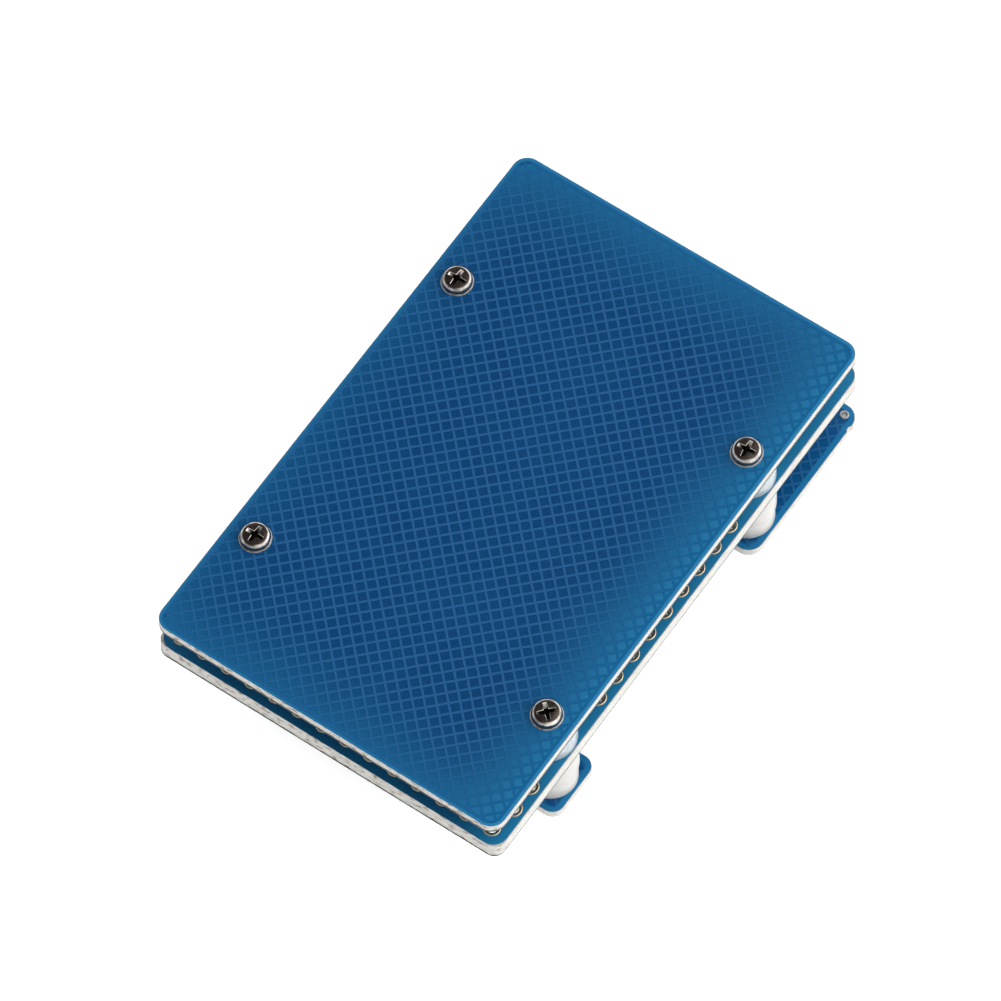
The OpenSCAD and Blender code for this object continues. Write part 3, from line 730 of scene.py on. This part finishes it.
def make_main_board():
    """Plain mask on both faces, clear of the screws, pads and joints."""
    low, top = MAIN_LO.z, MAIN_HI.z
    holes = discs(SCREWS, SCREW_HOLE_R) + discs(PADS, PAD_HOLE_R) + discs(JOINTS, JOINT_HOLE_R, 16)
    clear = discs(SCREWS, 1.3 * MM) + discs(PADS, PAD_CLEAR_R) + discs(JOINTS, JOINT_CLEAR_R)
    core = [board_outline(CORE_INSET)] + holes
    layer("main_laminate", core, low + MASK_T, top - MASK_T, "laminate", "main_board")
    edge_band("main_edge", cut_outline, low, top, 4, 0.16, 0.1)
    # painted shade line under the main board's rim
    painted_shade_line("main_painted_shade_line", cut_outline, low, 0.1 * MM)
    for name, z0, z1, near_inset in (("upper", top - MASK_T, top, 0.24), ("lower", low, low + MASK_T, 0.14)):
        layer(f"main_{name}_mask", [board_outline(0.11 * MM, near_inset * MM)] + clear, z0, z1, "main_mask")


def make_front_cover():
    """Opened mask with copper lines, with openings over the lights, the buttons and the switch."""
    low, top = FRONT_LO.z, FRONT_HI.z
    slot_lo = (SWITCH[0] - SLOT_HALF[0], SWITCH[1] - SLOT_HALF[1])
    slot_hi = (SWITCH[0] + SLOT_HALF[0], SWITCH[1] + SLOT_HALF[1])
    openings = [(p, LED_OPENING_R) for p in LEDS] + [(p, BUTTON_OPENING_R) for p in BUTTONS]
    holes = (discs(SCREWS, SCREW_HOLE_R) + [circle(p, r) for p, r in openings]
             + [circle(RING, RING_HOLE_R), grown(slot_lo, slot_hi, 0, 0.1 * MM)])
    clear = (discs(SCREWS, 1.54 * MM) + [circle(p, r + 0.1 * MM) for p, r in openings]
             + [circle(RING, RING_HOLE_R), grown(slot_lo, slot_hi, 0.08 * MM, 0.15 * MM)])
    core = [front_outline(CORE_INSET)] + holes
    layer("front_laminate", core, low + MASK_T, top - MASK_T, "laminate", "front_cover")
    edge_band("front_edge", front_outline, low, top, 5, 0.05, 0.025)
    m = FRONT_MARGIN
    regions = [
        (FRONT_LO.x + m, -SIDE_Y + m, STRIP_END - m, SIDE_Y - m, 0.2 * MM),
        (STRIP_END - m, -SIDE_Y + OPEN_RECESS + m, BLOCK_START + m, SIDE_Y - HEADER_RECESS - m, 0),
        (BLOCK_START + m, -SIDE_Y + m, FRONT_HI.x - m, SIDE_Y - m, 0.2 * MM),
    ]
    keep_out = ([(p, 2.45 * MM) for p in SCREWS] + [(p, r + 0.4 * MM) for p, r in openings]
                + [(RING, 0.9 * MM)]
                + [((SWITCH[0], SWITCH[1] + s * 0.9 * MM), 1.75 * MM) for s in (-1, 1)])
    opening = [front_outline(m)] + clear
    margin = [front_outline(MASK_PULL_BACK), front_outline(m)]
    for name, face, up in (("upper", top, 1), ("lower", low, -1)):
        z0, z1 = sorted((face - up * MASK_T, face - up * RIB_H))
        layer(f"front_{name}_mask", opening, z0, z1, "front_opening")
        layer(f"front_{name}_margin", margin, z0, z1, "front_margin")
        hatch(f"front_{name}_hatch", regions, keep_out, face, up, "front_line")


# ---------- screws, nuts and spacers ----------


def cross(bm, radius, half, z):
    """Vertices of a Phillips cross with arms from the centre out to radius."""
    outline = []
    for k in range(4):
        c, s = math.cos(math.pi / 2 * k), math.sin(math.pi / 2 * k)
        for x, y in ((radius, -half), (radius, half), (half * 1.35, half * 1.35)):
            outline.append(bm.verts.new((x * c - y * s, x * s + y * c, z)))
    return outline


def boolean_cut(obj, cutter):
    """Subtracts cutter from obj for good, and deletes the cutter."""
    cut = obj.modifiers.new("cut", "BOOLEAN")
    cut.operation = "DIFFERENCE"
    cut.solver = "EXACT"
    cut.object = cutter
    bpy.context.view_layer.update()
    mesh = bpy.data.meshes.new_from_object(obj.evaluated_get(bpy.context.evaluated_depsgraph_get()))
    obj.modifiers.clear()
    old = obj.data
    obj.data = mesh
    bpy.data.meshes.remove(old)
    bpy.data.objects.remove(cutter)


SCREW_TURNS = (48, 0, 5, 1)  # how far each head is turned, in degrees
HEAD_R, HEAD_WALL, HEAD_ROUND = 1.4 * MM, 0.12 * MM, 0.34 * MM
CROSS_LAYERS = ((0.93, 0.22, 0.05), (0.85, 0.15, -0.035), (0.5, 0.11, -0.48))  # radius, half arm, height
THREAD_PITCH = 0.35 * MM


def make_heads():
    """Round-edged heads with a cross recess."""
    base = COVER_HI.z
    height = HEAD_TOP - base
    profile = [(0, -0.02 * MM), (HEAD_R - 0.03 * MM, -0.02 * MM), (HEAD_R, 0.02 * MM), (HEAD_R, HEAD_WALL)]
    for a in (12, 24, 36, 48, 60, 72, 84):
        profile.append((HEAD_R - HEAD_ROUND + HEAD_ROUND * math.cos(math.radians(a)),
                        HEAD_WALL + (height - HEAD_WALL - 0.01 * MM) * math.sin(math.radians(a))))
    profile += [(1.04 * MM, height), (0.5 * MM, height), (0, height)]
    for index, ((x, y), turn) in enumerate(zip(SCREWS, SCREW_TURNS)):
        head = lathe(f"screw_head_{index + 1}", profile, [(x, y, base)], 64, smooth=32)
        bm = bmesh.new()
        rings = [cross(bm, radius * MM, half * MM, HEAD_TOP + z * MM) for radius, half, z in CROSS_LAYERS]
        skin(bm, rings)
        bm.faces.new(rings[0])
        bm.faces.new(rings[-1][::-1])
        bmesh.ops.rotate(bm, verts=bm.verts, matrix=Matrix.Rotation(math.radians(turn), 3, "Z"))
        bmesh.ops.translate(bm, verts=bm.verts, vec=(x, y, 0))
        boolean_cut(head, from_bmesh("cross_cutter", bm))
        smooth_below(head, 30)
        finish_piece(head, "black_nickel", "black_nickel")


def make_shanks():
    """Shanks with a thread up to the front cover."""
    profile = [(0, 0), (0.5 * MM, 0), (0.68 * MM, 0.15 * MM)]
    z = 0.2 * MM
    while z < FRONT_LO.z + 0.4 * MM:
        profile += [(0.66 * MM, z), (0.8 * MM, z + THREAD_PITCH * 0.4), (0.8 * MM, z + THREAD_PITCH * 0.55)]
        z += THREAD_PITCH
    profile += [(0.78 * MM, z), (0.78 * MM, COVER_HI.z), (0, COVER_HI.z)]
    shanks = lathe("screw_shanks", profile, [(x, y, 0) for x, y in SCREWS], 24)
    finish_piece(shanks, "black_nickel", "black_nickel", "cover_screws")


def make_rims():
    """The ragged ring of bare metal that shows round each head."""
    bits = random.Random(7)
    steps, base, sunk = 40, COVER_HI.z, COVER_HI.z - 0.045 * MM
    bm = bmesh.new()
    for at in SCREWS:
        edge = [1.42 * MM + bits.uniform(-0.02, 0.05) * MM for _ in range(steps)]
        rings = [ring_into(bm, at, 1.37 * MM, steps, base + 0.012 * MM),
                 ring_into(bm, at, lambda k: edge[k], steps, base + 0.012 * MM),
                 ring_into(bm, at, lambda k: edge[k] + 0.015 * MM, steps, sunk),
                 ring_into(bm, at, 1.37 * MM, steps, sunk)]
        skin(bm, rings + rings[:1])
    finish_piece(from_bmesh("screw_rims", bm, 40), "tin", "steel")


def make_nuts():
    """Hexagon nuts with turned-down corners and a plain bore."""
    lo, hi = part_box("cover_nuts")
    height, steps, half_flat, corner_r = hi.z - lo.z, 48, 1.6 * MM, 1.56 * MM

    def hexagon(cap):
        turn = 2 * math.pi / steps
        return lambda k: min(cap, half_flat / math.cos((turn * k) % (math.pi / 3) - math.pi / 6))

    bm = bmesh.new()
    for at in SCREWS:
        rings = [ring_into(bm, at, hexagon(cap), steps, lo.z + z)
                 for z, cap in ((0, corner_r), (0.16 * MM, math.inf), (height - 0.16 * MM, math.inf),
                                (height, corner_r))]
        rings += [ring_into(bm, at, radius * MM, steps, lo.z + z)
                  for z, radius in ((height, 0.98), (height - 0.12 * MM, 0.81), (0.12 * MM, 0.81), (0, 0.98))]
        skin(bm, rings + rings[:1])
    finish_piece(from_bmesh("hex_nuts", bm, 25), "zinc", "steel", "cover_nuts")


def make_spacers():
    """Nylon tubes with rounded ends."""
    c = 0.12 * MM
    for node, name, material in (("clear_spacers", "clear_tubes", "clear_nylon"),
                                 ("upper_spacers", "upper_tubes", "white_nylon"),
                                 ("lower_spacers", "lower_tubes", "white_nylon")):
        lo, hi = islands(node)[0]
        outer, height = (hi.x - lo.x) / 2, hi.z - lo.z
        profile = [(0.92 * MM, c), (1.0 * MM, 0), (outer - c, 0), (outer - 0.03 * MM, 0.03 * MM), (outer, c),
                   (outer, height - c), (outer - 0.03 * MM, height - 0.03 * MM), (outer - c, height),
                   (1.0 * MM, height), (0.92 * MM, height - c), (0.92 * MM, c)]
        tube = lathe(name, profile, [(x, y, lo.z) for x, y in SCREWS], 64, smooth=50)
        weld(tube)
        finish_piece(tube, material, material, node)


# ---------- pads, traces, print and solder ----------


def eyelet(low, top, bore, barrel, wide, roll, foot):
    """Profile of a plated hole: a rolled ring on each face and the barrel between them. Radii, roll and
    foot are in millimetres."""
    bore, barrel, wide, roll, foot, rise = (v * MM for v in (bore, barrel, wide, roll, foot, 0.04))
    shoulder = roll - 0.01 * MM
    return [(bore, low - roll), (bore + 0.02 * MM, low - rise), (wide - rise, low - rise),
            (wide, low - shoulder), (wide, low + foot), (barrel, low + foot), (barrel, top - foot),
            (wide, top - foot), (wide, top + shoulder), (wide - rise, top + rise),
            (bore + 0.02 * MM, top + rise), (bore, top + roll), (bore, low - roll)]


def make_pads():
    """The rows of plated holes in the main board, and the one in the front cover's corner."""
    profile = eyelet(MAIN_LO.z, MAIN_HI.z, 0.5, 0.545, 0.78, 0.02, 0.03)
    rings = lathe("pad_rings", profile, [(x, y, 0) for x, y in PADS], 40)
    weld(rings)
    finish_piece(rings, "gold", "gold_plate", "edge_pads")
    profile = eyelet(FRONT_LO.z, FRONT_HI.z, 0.23, 0.295, 0.43, 0.03, 0.02)
    ring = lathe("corner_eyelet", profile, [(*RING, 0)], 40)
    weld(ring)
    finish_piece(ring, "dull_tin", "tin", "corner_ring")


def make_joints():
    """Solder fillets: a wetted ring that curves up to each lead."""
    base = MAIN_HI.z
    foot = 0.85 * MM
    profile = [(0, 0), (foot, 0), (foot, 0.03 * MM)]
    for k in range(1, 8):
        t = k / 7
        profile.append((foot - (foot - 0.3 * MM) * t ** 0.6, 0.03 * MM + 0.72 * MM * t ** 1.9))
    profile += [(0.15 * MM, 0.79 * MM), (0, 0.8 * MM)]
    joints = lathe("solder_fillets", profile, [(x, y, base) for x, y in JOINTS], 24, smooth=60)
    finish_piece(joints, "solder", "tin", "solder_joints")


def strip(points, width):
    """Outline of a track of one width along a line of points."""
    left, right = [], []
    pts = [Vector(p) for p in points]
    for i, p in enumerate(pts):
        before = (p - pts[i - 1]).normalized() if i else (pts[1] - p).normalized()
        after = (pts[i + 1] - p).normalized() if i + 1 < len(pts) else before
        normal = Vector((-(before + after).y, (before + after).x)).normalized()
        half = width / 2 / max(0.3, normal.dot(Vector((-before.y, before.x))))
        left.append(tuple(p + normal * half))
        right.append(tuple(p - normal * half))
    return left + right[::-1]


def make_traces():
    """Tracks under the mask on both faces of the main board, with their vias."""
    chip = middle(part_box("controller_chip"))
    pitch, count = 0.8 * MM, 11
    lower, upper, vias = [], [], []
    for side, room in ((0, 0.9), (90, 1.1), (180, 2.0), (270, 0.8)):
        c, s = math.cos(math.radians(side)), math.sin(math.radians(side))
        for i in range(count):
            off = (i - (count - 1) / 2) * pitch
            start, run = 5.55 * MM, (6.35 + room * (0.45 + 0.55 * (i % 2))) * MM
            path = [(start, off), (run - 0.3 * MM, off), (run, off + 0.3 * MM * (1 if i % 4 < 2 else -1))]
            path = [(chip.x + u * c - v * s, chip.y + u * s + v * c) for u, v in path]
            lower.append(strip(path, 0.2 * MM))
            vias.append(path[-1])
    rows = sorted((p for p in PADS if p[0] < NEAR_X + 2 * MM), key=lambda p: p[1])
    for i, (x, y) in enumerate(rows):
        end = x + (5.5 + 1.1 * ((i * 5) % 7)) * MM
        lean = 0.9 * MM * (1 if y < 0 else -1)
        path = [(x + 0.7 * MM, y), (x + 2.6 * MM, y), (x + 2.6 * MM + abs(lean), y + lean), (end, y + lean)]
        if all(math.dist(path[-1], p) > 2.9 * MM for p in SCREWS + JOINTS):
            upper.append(strip(path, 0.3 * MM))
            vias.append(path[-1])
    for x, y in (p for p in PADS if p[0] > NEAR_X + 10 * MM):
        path = [(x + dx * MM, y + dy * MM) for dx, dy in ((0, 0.7), (0, 2.3), (0.8, 3.1), (0.8, 6.0))]
        upper.append(strip(path, 0.3 * MM))
        vias.append(path[-1])
    t = 0.02 * MM
    low, top = MAIN_LO.z, MAIN_HI.z
    layer("upper_traces", upper, top - 0.01 * MM, top + t, "main_trace")
    layer("lower_traces", lower, low - t, low + 0.01 * MM, "main_trace")
    profile = [(0.15 * MM, -t), (0.17 * MM, -1.5 * t), (0.3 * MM, -1.5 * t), (0.32 * MM, t)]
    for name, z, up in (("upper_vias", top, -1), ("lower_vias", low, 1)):
        bm = bmesh.new()
        for x, y in vias:
            lathe_into(bm, profile + [(0.15 * MM, t), (0.15 * MM, -t)], (x, y, z), 16, up)
        piece = from_bmesh(name, bm, 40)
        weld(piece)
        finish_piece(piece, "main_trace", "blue_mask")


def make_print():
    """White outlines round the parts on the main board's lower face. No text."""
    line = 0.15 * MM
    boxes = [(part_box(node), gap * MM) for node, gap in (
        ("controller_chip", 0.25), ("crystal_base", 0.35), ("usb_insert", 0.5), ("switch_base", 0.35),
        ("input_fuse", 0.35), ("voltage_regulator", 0.3), ("buffer_chip", 0.3), ("memory_chip", 0.3),
        ("service_header_base", 0.3))]
    boxes += [(box, 0.35 * MM) for node in ("button_bases", "capacitor_bases") for box in islands(node)]
    loops = [grown(lo, hi, reach, 0.1 * MM) for (lo, hi), gap in boxes for reach in (gap, gap - line)]
    for p in LEDS:
        loops.extend((circle(p, 2.2 * MM), circle(p, 2.2 * MM - line)))
    low = MAIN_LO.z
    finish_piece(plate("part_outlines", loops, low - 0.015 * MM, low + 0.01 * MM), "silk", "white_plastic")


# ---------- parts on the main board ----------


def make_led_insides():
    """The metal posts and the cup that show through each lens."""
    z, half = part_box("power_led")[1].z, 0.22 * MM
    cup = [(0, 0), (0.42 * MM, 0.05 * MM), (0.62 * MM, 0.5 * MM), (0.54 * MM, 0.5 * MM),
           (0.3 * MM, 0.2 * MM), (0, 0.2 * MM)]
    bm = bmesh.new()
    for x, y in LEDS:
        for side, top in ((-1, 1.9), (1, 2.6)):
            post = y + side * 0.55 * MM
            box_into(bm, (x - half, post - half, z - top * MM), (x + half, post + half, z - 0.3 * MM),
                     0.05 * MM)
        lathe_into(bm, cup, (x, y + 0.2 * MM, z - 2.6 * MM), 24, -1)
    finish_piece(from_bmesh("led_insides", bm, 35), "tin", "tin")


def make_can_marks():
    """The dark half moon that marks one side of each capacitor's top."""
    bm = bmesh.new()
    for lo, hi in islands("capacitor_cans"):
        centre = middle((lo, hi))
        radius = (hi.x - lo.x) / 2 - 0.3 * MM
        moon = arc((centre.x, centre.y), radius, 125, 235, 16)
        prism_into(bm, moon, lo.z - 0.012 * MM, lo.z + 0.02 * MM)
    finish_piece(from_bmesh("capacitor_marks", bm), "black", "black_plastic")


# the CAD nodes that stay, each with its material and the width of its rounded edges
NODE_LOOKS = {
    "usb_shell": ("sheet", 0.06), "usb_insert": ("black", 0.08), "usb_contacts": ("gold", 0.03),
    "controller_chip": ("epoxy", 0.08), "controller_leads": ("tin", 0.02),
    "buffer_chip": ("epoxy", 0.1), "memory_chip": ("epoxy", 0.1), "small_chip_leads": ("tin", 0.03),
    "voltage_regulator": ("epoxy", 0.1), "regulator_leads": ("tin", 0.04),
    "crystal_can": ("can", 0.12), "crystal_base": ("black", 0.03),
    "capacitor_cans": ("can", 0.08), "capacitor_bases": ("black", 0.1),
    "chip_capacitors": ("ceramic", 0.05), "chip_resistors": ("resistor", 0.03),
    "chip_terminals": ("tin", 0.03),
    "input_fuse": ("fuse", 0.06), "power_led": ("red_lens", 0.06), "busy_led": ("yellow_lens", 0.06),
    "target_led": ("green_lens", 0.06), "led_leads": ("tin", 0.03),
    "program_button": ("black", 0.12), "reset_button": ("red", 0.12), "button_bases": ("black", 0.15),
    "button_frames": ("sheet", 0.05), "button_domes": ("tin", 0.02), "button_legs": ("tin", 0.04),
    "switch_knob": ("white", 0.1), "switch_base": ("phenolic", 0.06), "switch_frame": ("sheet", 0.08),
    "switch_pins": ("tin", 0.03), "target_header_shroud": ("black", 0.15),
    "target_header_pins": ("gold", 0.08),
    "service_header_base": ("black", 0.15), "service_header_pins": ("gold", 0.08),
}

make_back_cover()
make_main_board()
make_front_cover()
make_heads()
make_shanks()
make_rims()
make_nuts()
make_spacers()
make_pads()
make_joints()
make_traces()
make_print()
make_led_insides()
make_can_marks()
for node_name, (look, width) in NODE_LOOKS.items():
    softened(node_name, look, width)

# ---------- stage, light and camera ----------


def make_floor():
    """White paper that also gives off a little light, so it photographs as pure white."""
    bm = bmesh.new()
    half, cells = 2.0, 8
    grid = [[bm.verts.new((-half + 2 * half * i / cells, -half + 2 * half * j / cells, 0))
             for j in range(cells + 1)] for i in range(cells + 1)]
    for i in range(cells):
        for j in range(cells):
            bm.faces.new((grid[i][j], grid[i + 1][j], grid[i + 1][j + 1], grid[i][j + 1]))
    floor = from_bmesh("floor", bm)
    floor.data.materials.append(grainy("floor_paper", (0.93, 0.93, 0.93), (0.75, 0.85), 800, 0.01, 0.0,
                                       Emission_Color=(1, 1, 1, 1), Emission_Strength=0.45))


def area_light(name, direction, distance, size, power):
    """A square soft white light that looks at the middle of the object from a direction."""
    light = bpy.data.lights.new(name, "AREA")
    light.size = size
    light.energy = power
    lamp = bpy.data.objects.new(name, light)
    bpy.context.scene.collection.objects.link(lamp)
    aim = Vector((0, 0, COVER_HI.z))
    lamp.location = aim + Vector(direction).normalized() * distance
    lamp.rotation_euler = (aim - lamp.location).to_track_quat("-Z", "Y").to_euler()


def make_world(low, high, sides):
    """Pale surroundings: dark overhead, and brighter towards the open -Y side than towards the near end."""
    world = bpy.data.worlds.new("studio")
    world.use_nodes = True
    tree = world.node_tree

    def remap(source, numbers):
        node = tree.nodes.new("ShaderNodeMapRange")
        for i, number in enumerate(numbers):
            node.inputs[i + 1].default_value = number
        tree.links.new(source, node.inputs[0])
        return node.outputs[0]

    coords = tree.nodes.new("ShaderNodeTexCoord").outputs["Generated"]
    split = tree.nodes.new("ShaderNodeSeparateXYZ")
    tree.links.new(coords, split.inputs[0])
    dot = tree.nodes.new("ShaderNodeVectorMath")
    dot.operation = "DOT_PRODUCT"
    dot.inputs[1].default_value = (0.6, -0.8, 0)
    tree.links.new(coords, dot.inputs[0])
    product = tree.nodes.new("ShaderNodeMath")
    product.operation = "MULTIPLY"
    tree.links.new(remap(split.outputs[2], (0.45, 0.82, high, low)), product.inputs[0])
    tree.links.new(remap(dot.outputs["Value"], (-1, 1, 1 - sides, 1 + sides)), product.inputs[1])
    tree.links.new(product.outputs[0], tree.nodes["Background"].inputs["Strength"])
    tree.nodes["Background"].inputs["Color"].default_value = (1, 1, 1, 1)
    bpy.context.scene.world = world


AZIMUTH, ELEVATION, ROLL = -51.34, 62.27, -4.36  # degrees
LENS, DISTANCE = 288.27, 702.47 * MM
AIM_RIGHT, AIM_UP = -0.784 * MM, -1.390 * MM


def make_camera():
    """A long lens from above, on the side of the near end and the open -Y edge."""
    a, e, roll = (math.radians(v) for v in (AZIMUTH, ELEVATION, ROLL))
    back = Vector((math.sin(a) * math.cos(e), -math.cos(a) * math.cos(e), math.sin(e)))
    right = Vector((math.cos(a), math.sin(a), 0))
    up = back.cross(right)
    right, up = (right * math.cos(roll) + up * math.sin(roll), up * math.cos(roll) - right * math.sin(roll))
    aim = Vector((0, 0, COVER_HI.z)) + right * AIM_RIGHT + up * AIM_UP
    data = bpy.data.cameras.new("camera")
    data.lens = LENS
    data.sensor_width = 36
    camera = bpy.data.objects.new("camera", data)
    bpy.context.scene.collection.objects.link(camera)
    turn = Matrix((right, up, back)).transposed().to_4x4()
    camera.matrix_world = Matrix.Translation(aim + back * DISTANCE) @ turn
    bpy.context.scene.camera = camera


make_floor()
area_light("key", (0.22, -0.50, 0.84), 0.9, 1.2, 8.5)
make_world(0.25, 2.2, 0.45)
make_camera()
bpy.context.scene.view_settings.view_transform = "Standard"
